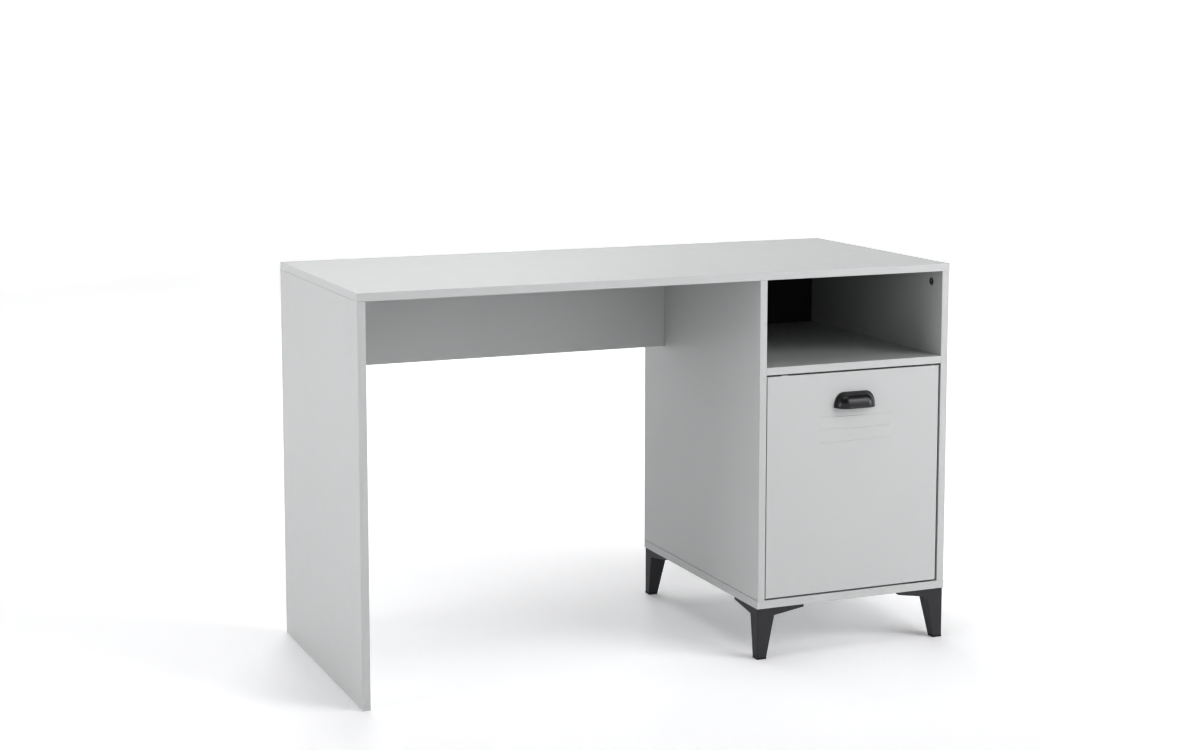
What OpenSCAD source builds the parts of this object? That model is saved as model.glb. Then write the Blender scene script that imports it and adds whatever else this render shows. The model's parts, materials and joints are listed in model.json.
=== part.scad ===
// Pedestal computer desk: panel top, full-height end panel on the left,
// and a cupboard with an open compartment on four folded steel legs on the right.
// X runs to the right, Y to the back and Z up. The origin is the centre of the
// footprint, handle included, on the floor.

/* [Desk] */
// Overall width of the desk
desk_w = 1200; // [1000:10:1500]
// Depth of the desk top, without the handle
desk_d = 535; // [440:5:650]
// Height of the desk top above the floor
desk_h = 750; // [620:5:900]
// Thickness of the top, sides, shelf and modesty panel
board_t = 15; // [15:1:18]
// Height of the modesty panel
modesty_h = 185; // [150:5:260]
// Distance from the rear edge to the back of the modesty panel
modesty_inset = 87; // [70:1:160]

/* [Cabinet] */
// Width of the cabinet, measured over its base board
cabinet_w = 415; // [340:5:520]
// Thickness of the base board
base_t = 16; // [15:1:20]
// Clear height of the open compartment
compartment_h = 167; // [130:1:210]
// How far the base and the top stand out past the cabinet sides
edge_step = 1; // [0.5:0.1:2]
// Thickness of the hardboard back
back_t = 3; // [2.5:0.5:5]
// Depth from the rear edge of the top to the hardboard back
back_recess = 1; // [1:0.5:4]

/* [Door] */
// Thickness of the door
door_t = 15; // [15:1:18]
// Gap between the door and the opening above and below
door_gap = 3; // [2.8:0.1:4]
// Gap beside the door at its free edge
free_gap = 1.5; // [1:0.1:4]
// Gap beside the door at its pivots
pivot_gap = 4.5; // [2.5:0.1:6]
// Length of the pressed-in grooves
groove_w = 158; // [100:1:220]
// Depth of the grooves below the door's face
groove_depth = 0.7; // [0.5:0.1:2]
// Height of the mouth of a groove
groove_h = 5.4; // [5:0.1:10]
// Height of the steep lower lip of a groove
groove_lip = 1; // [0.8:0.1:2]
// Distance from the top of the door to the middle of the first groove
groove_drop = 84.5; // [75:0.5:120]
// Distance from one groove to the next
groove_pitch = 24.5; // [15:0.5:35]
// Number of grooves
groove_count = 3; // [1:1:6]

/* [Handle] */
// Width of the handle over its rim
handle_w = 90; // [80:1:120]
// Height of the handle over its rim
handle_h = 30; // [28:1:45]
// How far the handle stands out from the door
handle_out = 23; // [20:1:30]
// Distance from the top of the door to the top of the handle
handle_drop = 39; // [25:1:50]
// Wall thickness of the handle
handle_wall = 1.6; // [1.2:0.1:2.5]
// Distance between the two handle screws
handle_screw_pitch = 64; // [56:1:70]

/* [Legs] */
// Height of the legs, glides included
leg_h = 100; // [80:1:150]
// Thickness of the folded sheet steel
leg_sheet = 2; // [1.5:0.1:2.4]
// Length of each arm along the underside of the base
leg_arm = 100; // [90:1:120]
// Width of the front of the stem, just under the arm
leg_top_w = 36; // [30:1:45]
// Width of the side of the stem, just under the arm
leg_top_d = 30; // [25:1:45]
// Width of the stem at the foot
leg_foot_w = 20; // [18:1:28]
// Depth of the arm at the inner corner
leg_arm_h = 15; // [12:1:20]
// Depth of the arm at its tip
leg_tip_h = 5; // [4:0.5:8]
// Width of the edge folded in under each arm
leg_return = 12; // [8:1:14]
// Distance from the edge of the base to the leg's faces
leg_inset = 1.5; // [1:0.5:10]
// Height of the plastic glide under each leg
glide_h = 4; // [3:0.5:8]

/* [Fittings] */
// Radius of a cam lock's bore
cam_bore_r = 7.5; // [7:0.1:7.5]
// Depth of a cam lock's bore
cam_bore_depth = 12.6; // [12.2:0.1:13.5]
// Distance from the joint face to the centre of the cam lock
cam_reach = 24; // [22:1:34]
// Distance from a board's end to its cam locks
cam_inset = 40; // [32:1:60]
// Radius of the wooden dowels
dowel_r = 4; // [3:0.5:4]
// Length of the wooden dowels
dowel_l = 30; // [25:1:35]
// Distance from a cam lock to the dowel beside it
dowel_offset = 40; // [25:1:60]
// Radius of the door's pivot pins
pivot_pin_r = 3; // [2.5:0.1:3.5]
// Length of each pivot pin inside the door
pivot_pin_l = 12; // [8:1:20]
// Thickness of the pivot brackets
bracket_t = 2; // [1.5:0.1:2]
// Length of the pivot brackets
bracket_l = 50; // [45:1:70]
// Width of the pivot brackets
bracket_w = 13; // [12:0.5:14]
// Width of the strike plate on the door
strike_w = 15; // [12:1:25]
// Distance from the cabinet's side to the middle of the strike plate
catch_inset = 38; // [30:1:80]
// Radial clearance of a pin that turns in its bush
running_gap = 0.05; // [0.03:0.01:0.1]
// Clearance between a fastener and its hole
hole_gap = 0.05; // [0.02:0.01:0.1]
// Least distance between the turning door's corners and the cabinet side
swing_gap = 0.8; // [0.5:0.1:1.2]
// Least distance from the pivot to the door's edge
pivot_wall = 12; // [10:1:20]

/* [Hidden] */

$fn = 48;
// Overshoot of a cut past the face that it opens
eps = 1;

board_colour = [0.80, 0.81, 0.81];
black_colour = [0.10, 0.10, 0.11];
zinc_colour = [0.70, 0.71, 0.72];
dowel_colour = [0.78, 0.62, 0.42];
white_colour = [0.93, 0.93, 0.91];

// Planes across the desk, from left to right
x_left = -desk_w / 2;
x_right = desk_w / 2;
x_knee_left = x_left + board_t;
x_base = x_right - cabinet_w;
x_side_l = x_base + edge_step;
x_in_l = x_side_l + board_t;
x_side_r = x_right - edge_step;
x_in_r = x_side_r - board_t;

// Planes from front to back
y_front = -(desk_d + handle_out) / 2 + handle_out;
y_rear = y_front + desk_d;
y_back = y_rear - back_recess - back_t;
y_modesty = y_rear - modesty_inset - board_t;

// Levels from the floor up
z_base = leg_h;
z_floor = leg_h + base_t;
z_top = desk_h - board_t;
z_shelf = z_top - compartment_h - board_t;
z_modesty = z_top - modesty_h;

// Door
door_x0 = x_in_l + free_gap;
door_x1 = x_in_r - pivot_gap;
door_z0 = z_floor + door_gap;
door_z1 = z_shelf - door_gap;
door_mid = (door_x0 + door_x1) / 2;
door_back = y_front + door_t;

// The pivots sit far enough in for the door's square corners to clear the side,
// and for the board to stay thick enough round the bush
swing_room = pivot_gap - swing_gap;
swing_inset = ceil((pow(door_t / 2, 2) - pow(swing_room, 2)) / (2 * swing_room));
pivot_inset = max(swing_inset, pivot_wall);
pivot_x = door_x1 - pivot_inset;
pivot_y = y_front + door_t / 2;
pivot_play = 0.2;
bush_wall = 1;
bush_flange_r = pivot_pin_r + bush_wall + 1.5;
bush_flange_t = door_gap - bracket_t - pivot_play;
bush_r = pivot_pin_r + running_gap + bush_wall;
bush_l = pivot_pin_l + 2;

// Cam lock and bolt
cam_r = cam_bore_r - 0.1;
cam_l = cam_bore_depth - 0.3;
bolt_thread_r = 2.45;
bolt_thread_l = 10.5;
bolt_shank_r = 3.5;
bolt_hole_r = 4;
bolt_neck_r = 1.9;
bolt_head_r = 3.2;
bolt_head_l = 4;
cam_slot = 0.4;
cam_recess_l = 8;
cam_recess_w = 1.4;
cam_recess_d = 2;

// Share of a dowel that lies in the face it stands on
dowel_in = 10;
dowel_chamfer = 1;

// Cross recess in the head of a larger screw
recess_l = 4;
recess_w = 1;

// Countersunk wood screws
screw_r = 1.5;
screw_head_r = 3;
screw_cone = 1.5;

// ---- joints between boards ----
// A joint is [place, turn, thickness of the board whose edge meets the face].
// In its own frame the face is z = 0, the edge board lies along +z, and the cam
// opens towards +x.
module at_joint(j) {
    translate(j[0]) rotate(j[1]) children();
}

function front_and_rear(inset, rear) = [y_front + inset, rear - inset];

function top_joints_at(x, turn, rear, inset) =
    [for (y = front_and_rear(inset, rear)) [[x, y, z_top], turn, board_t]];

function top_joints(inset) = concat(
    top_joints_at(x_left + board_t / 2, [180, 0, 0], y_rear, inset),
    top_joints_at(x_side_l + board_t / 2, [180, 0, 0], y_back, inset),
    top_joints_at(x_side_r - board_t / 2, [0, 180, 0], y_back, inset));

function shelf_joints_left(inset) =
    [for (y = front_and_rear(inset, y_back))
        [[x_in_l, y, z_shelf + board_t / 2], [0, 90, 0], board_t]];

function shelf_joints_right(inset) =
    [for (y = front_and_rear(inset, y_back))
        [[x_in_r, y, z_shelf + board_t / 2], [180, 90, 0], board_t]];

function base_joints_left(inset) =
    [for (y = front_and_rear(inset, y_back))
        [[x_side_l + board_t / 2, y, z_floor], [0, 0, 0], board_t]];

function base_joints_right(inset) =
    [for (y = front_and_rear(inset, y_back))
        [[x_side_r - board_t / 2, y, z_floor], [0, 0, 180], board_t]];

function modesty_joints_left(heights) =
    [for (z = heights) [[x_knee_left, y_modesty + board_t / 2, z], [90, 0, 90], board_t]];

function modesty_joints_right(heights) =
    [for (z = heights) [[x_side_l, y_modesty + board_t / 2, z], [-90, 0, 90], board_t]];

cam_y = cam_inset;
dowel_y = cam_inset + dowel_offset;
modesty_cam_z = [z_modesty + cam_inset, z_top - cam_inset];
modesty_dowel_z = [(z_modesty + z_top) / 2];

cam_joints = concat(
    top_joints(cam_y),
    shelf_joints_left(cam_y), shelf_joints_right(cam_y),
    base_joints_left(cam_y), base_joints_right(cam_y),
    modesty_joints_left(modesty_cam_z), modesty_joints_right(modesty_cam_z));

dowel_joints = concat(
    top_joints(dowel_y),
    shelf_joints_left(dowel_y), shelf_joints_right(dowel_y),
    base_joints_left(dowel_y), base_joints_right(dowel_y),
    modesty_joints_left(modesty_dowel_z), modesty_joints_right(modesty_dowel_z));

// Holes in the board whose face a joint stands on
module face_holes(cams, dowels) {
    for (j = cams) at_joint(j)
        translate([0, 0, -bolt_thread_l - 0.5])
            cylinder(r = bolt_thread_r + hole_gap, h = bolt_thread_l + 0.5 + eps);
    for (j = dowels) at_joint(j)
        translate([0, 0, -dowel_in - 0.5])
            cylinder(r = dowel_r + hole_gap, h = dowel_in + 0.5 + eps);
}

// Holes in the board whose edge meets the face
module edge_holes(cams, dowels) {
    for (j = cams) at_joint(j) {
        translate([0, 0, -eps]) cylinder(r = bolt_hole_r, h = cam_reach - cam_bore_r / 2 + eps);
        translate([j[2] / 2 - cam_bore_depth, 0, cam_reach])
            rotate([0, 90, 0]) cylinder(r = cam_bore_r, h = cam_bore_depth + eps);
    }
    for (j = dowels) at_joint(j)
        translate([0, 0, -eps])
            cylinder(r = dowel_r + hole_gap, h = dowel_l - dowel_in + 0.5 + eps);
}

// A plain board between two opposite corners
module board(low, high) {
    translate(low) cube(high - low);
}

// Cross recess, cut upwards from z = 0
module cross_recess() {
    for (a = [0, 90]) rotate([0, 0, a])
        translate([-recess_l / 2, -recess_w / 2, -eps]) cube([recess_l, recess_w, recess_w + eps]);
}

// ---- boards ----
module desk_top() {
    color(board_colour) difference() {
        board([x_left, y_front, z_top], [x_right, y_rear, desk_h]);
        face_holes(top_joints(cam_y), top_joints(dowel_y));
    }
}

module left_end_panel() {
    color(board_colour) difference() {
        board([x_left, y_front, 0], [x_knee_left, y_rear, z_top]);
        edge_holes(top_joints(cam_y), top_joints(dowel_y));
        face_holes(modesty_joints_left(modesty_cam_z), modesty_joints_left(modesty_dowel_z));
    }
}

module modesty_panel() {
    color(board_colour) difference() {
        board([x_knee_left, y_modesty, z_modesty], [x_side_l, y_modesty + board_t, z_top]);
        edge_holes(modesty_joints_left(modesty_cam_z), modesty_joints_left(modesty_dowel_z));
        edge_holes(modesty_joints_right(modesty_cam_z), modesty_joints_right(modesty_dowel_z));
    }
}

module cabinet_left_side() {
    color(board_colour) difference() {
        board([x_side_l, y_front, z_floor], [x_in_l, y_back, z_top]);
        edge_holes(top_joints(cam_y), top_joints(dowel_y));
        edge_holes(base_joints_left(cam_y), base_joints_left(dowel_y));
        face_holes(shelf_joints_left(cam_y), shelf_joints_left(dowel_y));
        face_holes(modesty_joints_right(modesty_cam_z), modesty_joints_right(modesty_dowel_z));
        back_nail_holes();
    }
}

module cabinet_right_side() {
    color(board_colour) difference() {
        board([x_in_r, y_front, z_floor], [x_side_r, y_back, z_top]);
        edge_holes(top_joints(cam_y), top_joints(dowel_y));
        edge_holes(base_joints_right(cam_y), base_joints_right(dowel_y));
        face_holes(shelf_joints_right(cam_y), shelf_joints_right(dowel_y));
        back_nail_holes();
    }
}

module cabinet_shelf() {
    color(board_colour) difference() {
        board([x_in_l, y_front, z_shelf], [x_in_r, y_back, z_shelf + board_t]);
        edge_holes(shelf_joints_left(cam_y), shelf_joints_left(dowel_y));
        edge_holes(shelf_joints_right(cam_y), shelf_joints_right(dowel_y));
        back_nail_holes();
        upper_bracket_place() bracket_screw_shanks(hole_gap);
        catch_screw_shanks(hole_gap);
    }
}

module cabinet_base() {
    color(board_colour) difference() {
        board([x_base, y_front, z_base], [x_right, y_back, z_floor]);
        face_holes(base_joints_left(cam_y), base_joints_left(dowel_y));
        face_holes(base_joints_right(cam_y), base_joints_right(dowel_y));
        back_nail_holes();
        lower_bracket_place() bracket_screw_shanks(hole_gap);
        leg_screw_shanks(hole_gap);
    }
}

// ---- hardboard back ----
nail_r = 0.8;
nail_l = 18;
nail_head_r = 1.8;
nail_head_t = 0.6;
nail_rows = 5;
nail_end = 30;
nail_edge = base_t / 2;
back_z0 = z_base + 1;
back_z1 = z_top - 1;
back_x0 = x_side_l + 1;
back_x1 = x_side_r - 1;

// Nails run up both sides and across the shelf and the base
nail_side_z = [for (i = [0:nail_rows - 1])
    z_floor + nail_end + i * (z_top - z_floor - 2 * nail_end) / (nail_rows - 1)];
nail_places = concat(
    [for (x = [x_side_l + board_t / 2, x_side_r - board_t / 2], z = nail_side_z) [x, z]],
    [for (f = [1, 2], z = [z_base + nail_edge, z_shelf + board_t / 2])
        [x_in_l + f * (x_in_r - x_in_l) / 3, z]]);

module at_nails() {
    for (p = nail_places)
        translate([p[0], y_back + back_t, p[1]]) rotate([90, 0, 0]) children();
}

module back_nail_holes() {
    at_nails() translate([0, 0, -eps]) cylinder(r = nail_r + hole_gap, h = nail_l + eps + 0.5);
}

module cabinet_back() {
    color(black_colour) difference() {
        board([back_x0, y_back, back_z0], [back_x1, y_back + back_t, back_z1]);
        back_nail_holes();
    }
}

module back_nails() {
    color(zinc_colour) at_nails() {
        cylinder(r = nail_r, h = nail_l);
        translate([0, 0, -nail_head_t]) cylinder(r = nail_head_r, h = nail_head_t);
    }
}

// ---- knock-down fittings ----
module cam_locks() {
    color(zinc_colour) for (j = cam_joints) at_joint(j)
        translate([j[2] / 2 - cam_l, 0, cam_reach]) difference() {
            rotate([0, 90, 0]) cylinder(r = cam_r, h = cam_l);
            // Pocket that takes the bolt's head, and the slot that its neck enters by
            translate([cam_l - j[2] / 2 - bolt_head_r - cam_slot, -bolt_head_r - cam_slot,
                       -bolt_head_l + 1])
                cube([2 * (bolt_head_r + cam_slot), 2 * (bolt_head_r + cam_slot), bolt_head_l + 1]);
            translate([cam_l - j[2] / 2 - bolt_neck_r - cam_slot, -bolt_neck_r - cam_slot, -cam_r - eps])
                cube([2 * (bolt_neck_r + cam_slot), 2 * (bolt_neck_r + cam_slot), cam_r + eps]);
            // Cross recess for the screwdriver
            for (a = [0, 90]) translate([cam_l - cam_recess_d, 0, 0]) rotate([a, 0, 0])
                translate([0, -cam_recess_l / 2, -cam_recess_w / 2])
                    cube([cam_recess_d + eps, cam_recess_l, cam_recess_w]);
        }
}

module cam_bolts() {
    neck_z = cam_reach - cam_bore_r - 0.5;
    head_z = cam_reach - bolt_head_l + 1.4;
    color(zinc_colour) for (j = cam_joints) at_joint(j) {
        translate([0, 0, -bolt_thread_l]) cylinder(r = bolt_thread_r, h = bolt_thread_l);
        cylinder(r = bolt_shank_r, h = neck_z);
        cylinder(r = bolt_neck_r, h = head_z + 0.5);
        translate([0, 0, head_z]) cylinder(r = bolt_head_r, h = bolt_head_l - 0.8);
    }
}

module wooden_dowels() {
    color(dowel_colour) for (j = dowel_joints) at_joint(j)
        translate([0, 0, -dowel_in]) {
            cylinder(r1 = dowel_r - dowel_chamfer, r2 = dowel_r, h = dowel_chamfer);
            translate([0, 0, dowel_chamfer])
                cylinder(r = dowel_r, h = dowel_l - 2 * dowel_chamfer);
            translate([0, 0, dowel_l - dowel_chamfer])
                cylinder(r1 = dowel_r, r2 = dowel_r - dowel_chamfer, h = dowel_chamfer);
        }
}

// ---- legs ----
// Leg places: [x, y, mirror in x, mirror in y]
leg_fl = [x_base + leg_inset, y_front + leg_inset, 0, 0];
leg_fr = [x_right - leg_inset, y_front + leg_inset, 1, 0];
leg_rl = [x_base + leg_inset, y_back - leg_inset, 0, 1];
leg_rr = [x_right - leg_inset, y_back - leg_inset, 1, 1];
legs = [leg_fl, leg_fr, leg_rl, leg_rr];

module at_leg(p) {
    translate([p[0], p[1], 0]) mirror([p[2], 0, 0]) mirror([0, p[3], 0]) children();
}

z_arm = leg_h - leg_arm_h;
z_tip = leg_h - leg_tip_h;

// Outline of one side of the stem, moved in by d: upright outside, tapered inside
function stem(top, d) = [
    [d, glide_h], [leg_foot_w - d, glide_h],
    [top - d, z_arm], [top - d, leg_h - leg_sheet], [d, leg_h - leg_sheet]];

// Extrudes an outline in x and z to the thickness t behind the plane y = 0
module upright(t) {
    translate([0, t, 0]) rotate([90, 0, 0]) linear_extrude(t) children();
}

module stem_block(d) {
    intersection() {
        upright(leg_top_d) polygon(stem(leg_top_w, d));
        mirror([1, -1, 0]) upright(leg_top_w) polygon(stem(leg_top_d, d));
    }
}

// Four-sided stem, open at the foot for the glide
module leg_stem() {
    bore_w = leg_foot_w - 2 * leg_sheet;
    difference() {
        stem_block(0);
        stem_block(leg_sheet);
        translate([leg_sheet, leg_sheet, glide_h - eps]) cube([bore_w, bore_w, 2 * eps]);
    }
}

// One arm: an upright side with its lower edge folded in
module leg_arm_side(top) {
    root = top - leg_sheet;
    upright(leg_sheet)
        polygon([[root, z_arm], [top, z_arm], [leg_arm, z_tip], [leg_arm, leg_h], [root, leg_h]]);
    upright(leg_return)
        polygon([[root, z_arm], [top, z_arm], [leg_arm, z_tip],
                 [leg_arm, z_tip + leg_sheet], [top, z_arm + leg_sheet], [root, z_arm + leg_sheet]]);
}

leg_screw_r = 2;
leg_screw_l = 13;
leg_screw_head_r = 3.8;
leg_screw_head_l = 2.4;
leg_screw_hole_r = leg_screw_r + 0.3;
leg_screw_far = leg_arm - 36;
leg_screw_near = leg_return + 8;
leg_screw_places = [
    [leg_screw_far, leg_screw_near], [leg_screw_near, leg_screw_far], [leg_arm / 2, leg_arm / 2]];

module leg() {
    difference() {
        union() {
            leg_stem();
            leg_arm_side(leg_top_w);
            mirror([1, -1, 0]) leg_arm_side(leg_top_d);
            translate([0, 0, leg_h - leg_sheet]) linear_extrude(leg_sheet)
                polygon([[0, 0], [leg_arm, 0], [leg_arm, leg_return], [leg_return, leg_arm], [0, leg_arm]]);
        }
        for (s = leg_screw_places) translate([s[0], s[1], leg_h - leg_sheet - eps])
            cylinder(r = leg_screw_hole_r, h = leg_sheet + 2 * eps);
    }
}

module leg_front_left() { color(black_colour) at_leg(leg_fl) leg(); }
module leg_front_right() { color(black_colour) at_leg(leg_fr) leg(); }
module leg_rear_left() { color(black_colour) at_leg(leg_rl) leg(); }
module leg_rear_right() { color(black_colour) at_leg(leg_rr) leg(); }

// Plastic glide: a pad the size of the foot and a plug that fits up inside it
glide_play = 0.3;
glide_plug_h = 7.5;

module glide() {
    plug_in = leg_sheet + glide_play;
    linear_extrude(glide_h) square(leg_foot_w);
    translate([plug_in, plug_in, glide_h - eps]) linear_extrude(glide_plug_h + eps)
        square(leg_foot_w - 2 * plug_in);
}

module glide_front_left() { color(black_colour) at_leg(leg_fl) glide(); }
module glide_front_right() { color(black_colour) at_leg(leg_fr) glide(); }
module glide_rear_left() { color(black_colour) at_leg(leg_rl) glide(); }
module glide_rear_right() { color(black_colour) at_leg(leg_rr) glide(); }

module leg_screw_shanks(gap) {
    for (p = legs, s = leg_screw_places) at_leg(p)
        translate([s[0], s[1], leg_h - leg_sheet])
            cylinder(r = leg_screw_r + gap, h = leg_screw_l + gap);
}

module leg_screws() {
    color(zinc_colour) {
        leg_screw_shanks(0);
        for (p = legs, s = leg_screw_places) at_leg(p)
            translate([s[0], s[1], leg_h - leg_sheet - leg_screw_head_l]) difference() {
                cylinder(r1 = leg_screw_head_r - 0.8, r2 = leg_screw_head_r, h = leg_screw_head_l);
                cross_recess();
            }
    }
}

// ---- pivots ----
// Both brackets share one shape. In the bracket's own frame the plate lies on
// z = 0 against the board above it, and the pin hangs down on the pivot axis.
module upper_bracket_place() {
    translate([pivot_x, pivot_y, z_shelf]) children();
}

module lower_bracket_place() {
    translate([pivot_x, pivot_y, z_floor]) mirror([0, 0, 1]) children();
}

bracket_nose = bracket_w / 2;
bracket_screw_x = [-16, bracket_nose + 7 - bracket_l];
bracket_screw_l = 11;

module bracket_screw_shanks(gap) {
    for (x = bracket_screw_x) translate([x, 0, -bracket_t])
        cylinder(r = screw_r + gap, h = bracket_screw_l + gap);
}

module bracket_screw_heads(gap) {
    for (x = bracket_screw_x) translate([x, 0, -bracket_t])
        cylinder(r1 = screw_head_r + gap, r2 = screw_r + gap, h = screw_cone);
}

module bracket() {
    difference() {
        translate([0, 0, -bracket_t]) linear_extrude(bracket_t) {
            circle(r = bracket_nose);
            translate([-bracket_l + bracket_nose, -bracket_w / 2])
                square([bracket_l - bracket_nose, bracket_w]);
        }
        translate([0, 0, -bracket_t - eps])
            cylinder(r = pivot_pin_r - 1 + hole_gap, h = bracket_t + 2 * eps);
        translate([0, 0, -eps]) bracket_screw_shanks(hole_gap);
        bracket_screw_shanks(hole_gap);
        bracket_screw_heads(hole_gap);
    }
}

// The pin's waist is riveted through the plate
module pivot_pin() {
    translate([0, 0, -bracket_t - pivot_pin_l]) {
        cylinder(r1 = pivot_pin_r - 0.6, r2 = pivot_pin_r, h = 0.6);
        translate([0, 0, 0.6]) cylinder(r = pivot_pin_r, h = pivot_pin_l - 0.6);
    }
    translate([0, 0, -bracket_t]) cylinder(r = pivot_pin_r - 1, h = bracket_t);
}

// The bush in the door: a flanged sleeve with a closed far end
module pivot_bush() {
    translate([0, 0, -door_gap]) difference() {
        union() {
            cylinder(r = bush_flange_r, h = bush_flange_t);
            translate([0, 0, -bush_l]) cylinder(r = bush_r, h = bush_l);
        }
        translate([0, 0, -bush_l + 1])
            cylinder(r = pivot_pin_r + running_gap, h = bush_l + bush_flange_t);
    }
}

module pivot_bore() {
    translate([0, 0, -door_gap - bush_l - 0.2])
        cylinder(r = bush_r + hole_gap, h = bush_l + 0.2 + eps);
}

module upper_pivot_bracket() { color(black_colour) upper_bracket_place() bracket(); }
module lower_pivot_bracket() { color(black_colour) lower_bracket_place() bracket(); }
module upper_pivot_pin() { color(zinc_colour) upper_bracket_place() pivot_pin(); }
module lower_pivot_pin() { color(zinc_colour) lower_bracket_place() pivot_pin(); }
module upper_pivot_bush() { color(white_colour) upper_bracket_place() pivot_bush(); }
module lower_pivot_bush() { color(white_colour) lower_bracket_place() pivot_bush(); }

module bracket_screw_set() {
    bracket_screw_shanks(0);
    bracket_screw_heads(0);
}

module bracket_screws() {
    color(zinc_colour) {
        upper_bracket_place() bracket_screw_set();
        lower_bracket_place() bracket_screw_set();
    }
}

// ---- magnetic catch ----
catch_x = x_in_l + catch_inset;
strike_t = 1.2;
strike_h = 26;
strike_lap = 0.3;
catch_play = 0.4;
catch_y = door_back + strike_t + catch_play;
catch_l = 46;
catch_d = 14;
catch_h = 13;
catch_housing_l = 26;
catch_ear_t = 2;
catch_screw_pitch = 36;
catch_screw_l = 12;
magnet_l = 20;
magnet_h = 7;
magnet_d = 10;
magnet_drop = 2.5;

module catch_screw_shanks(gap) {
    for (s = [-1, 1])
        translate([catch_x + s * catch_screw_pitch / 2, catch_y + catch_d / 2, z_shelf - catch_ear_t])
            cylinder(r = screw_r + gap, h = catch_screw_l + gap);
}

module catch_screw_heads(gap) {
    for (s = [-1, 1])
        translate([catch_x + s * catch_screw_pitch / 2, catch_y + catch_d / 2, z_shelf - catch_ear_t])
            cylinder(r1 = screw_head_r + gap, r2 = screw_r + gap, h = screw_cone);
}

module magnet_block(gap) {
    translate([catch_x - magnet_l / 2 - gap, catch_y - gap, z_shelf - catch_h + magnet_drop - gap])
        cube([magnet_l + 2 * gap, magnet_d + 2 * gap, magnet_h + 2 * gap]);
}

module catch_body() {
    color(white_colour) difference() {
        union() {
            translate([catch_x - catch_l / 2, catch_y, z_shelf - catch_ear_t])
                cube([catch_l, catch_d, catch_ear_t]);
            translate([catch_x - catch_housing_l / 2, catch_y, z_shelf - catch_h])
                cube([catch_housing_l, catch_d, catch_h]);
        }
        catch_screw_shanks(hole_gap);
        catch_screw_heads(hole_gap);
        magnet_block(hole_gap);
    }
}

module catch_magnet() {
    color(black_colour) magnet_block(0);
}

module catch_screws() {
    color(zinc_colour) {
        catch_screw_shanks(0);
        catch_screw_heads(0);
    }
}

// The strike plate folds over the top edge of the door
strike_screw_z = door_z1 - strike_h + 8;
strike_screw_l = 11;

module strike_screw_shank(gap) {
    translate([catch_x, door_back + strike_t, strike_screw_z]) rotate([90, 0, 0])
        cylinder(r = screw_r + gap, h = strike_screw_l + gap);
}

module strike_plate() {
    color(zinc_colour) difference() {
        union() {
            translate([catch_x - strike_w / 2, door_back, door_z1 - strike_h])
                cube([strike_w, strike_t, strike_h + strike_t]);
            translate([catch_x - strike_w / 2, y_front + strike_lap, door_z1])
                cube([strike_w, door_t - strike_lap + strike_t, strike_t]);
        }
        translate([0, eps, 0]) strike_screw_shank(hole_gap);
    }
}

module strike_screw() {
    color(zinc_colour) {
        strike_screw_shank(0);
        translate([catch_x, door_back + strike_t + 1.6, strike_screw_z]) rotate([90, 0, 0])
            cylinder(r1 = 1.8, r2 = screw_head_r, h = 1.6);
    }
}

// ---- door ----
groove_floor = 0.3;
groove_end = 2.5;

// Louvre-shaped groove: a long gentle upper side, a narrow floor, a steep lower lip and sloping ends
module groove(z) {
    top = groove_h / 2;
    half = groove_w / 2;
    floor_z = groove_lip - top;
    translate([door_mid, y_front, z]) intersection() {
        rotate([90, 0, 90]) linear_extrude(height = groove_w + 2, center = true)
            polygon([[-1, top], [0, top], [groove_depth, floor_z + groove_floor],
                     [groove_depth, floor_z], [0, -top], [-1, -top]]);
        linear_extrude(height = groove_h + 2, center = true)
            polygon([[-half, -1], [half, -1], [half, 0], [half - 2 * groove_end, 2 * groove_depth],
                     [2 * groove_end - half, 2 * groove_depth], [-half, 0]]);
    }
}

module door() {
    color(board_colour) difference() {
        board([door_x0, y_front, door_z0], [door_x1, door_back, door_z1]);
        for (i = [0:groove_count - 1]) groove(door_z1 - groove_drop - i * groove_pitch);
        upper_bracket_place() pivot_bore();
        lower_bracket_place() pivot_bore();
        handle_screw_shanks(0.25);
        strike_screw_shank(hole_gap);
    }
}

// ---- handle ----
handle_z = door_z1 - handle_drop - handle_h;
handle_rim = 3;
handle_rim_t = 1.5;
handle_lip = 1;
dome_r = handle_out - handle_lip;
dome_h = handle_h - handle_rim;
dome_half = handle_w / 2 - handle_rim;
dome_straight = dome_half - dome_r;
dome_bow = 2.2;

// Quarter of a squared-off ellipse, from its foot to its crown
function bow(r, h) = [for (a = [0:7.5:90])
    [r * pow(cos(a), 2 / dome_bow), h * pow(sin(a), 2 / dome_bow)]];

// Side section of the dome: out along x, up along y
module dome_section(r, h, drop) {
    polygon(concat([[0, -drop], [r, -drop]], bow(r, h), [[0, h]]));
}

// The dome: a straight run between two quarter turns of the same section
module dome(r, h, drop) {
    translate([-dome_straight, 0, 0]) rotate([90, 0, -90]) mirror([0, 0, 1])
        linear_extrude(2 * dome_straight) dome_section(r, h, drop);
    for (s = [0, 1]) mirror([s, 0, 0]) translate([dome_straight, 0, 0])
        rotate([0, 0, -90]) rotate_extrude(angle = 90, $fn = 64) dome_section(r, h, drop);
}

// Flat outline of the rim, seen from the front
module rim_outline(w, h) {
    right = [for (p = bow(dome_r, h)) [w / 2 - dome_r + p[0], p[1]]];
    left = [for (i = [len(right) - 1:-1:0]) [-right[i][0], right[i][1]]];
    polygon(concat(right, left));
}

module handle_screw_axes() {
    for (s = [-1, 1])
        translate([door_mid + s * handle_screw_pitch / 2, y_front, handle_z + handle_h / 3])
            rotate([90, 0, 0]) children();
}

handle_screw_r = 2;
handle_screw_l = door_t + 9;
handle_screw_head_r = 4;
handle_screw_head_t = 2.6;

module handle_screw_shanks(gap) {
    handle_screw_axes() translate([0, 0, -door_t - eps])
        cylinder(r = handle_screw_r + gap, h = handle_screw_l + eps);
}

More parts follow.
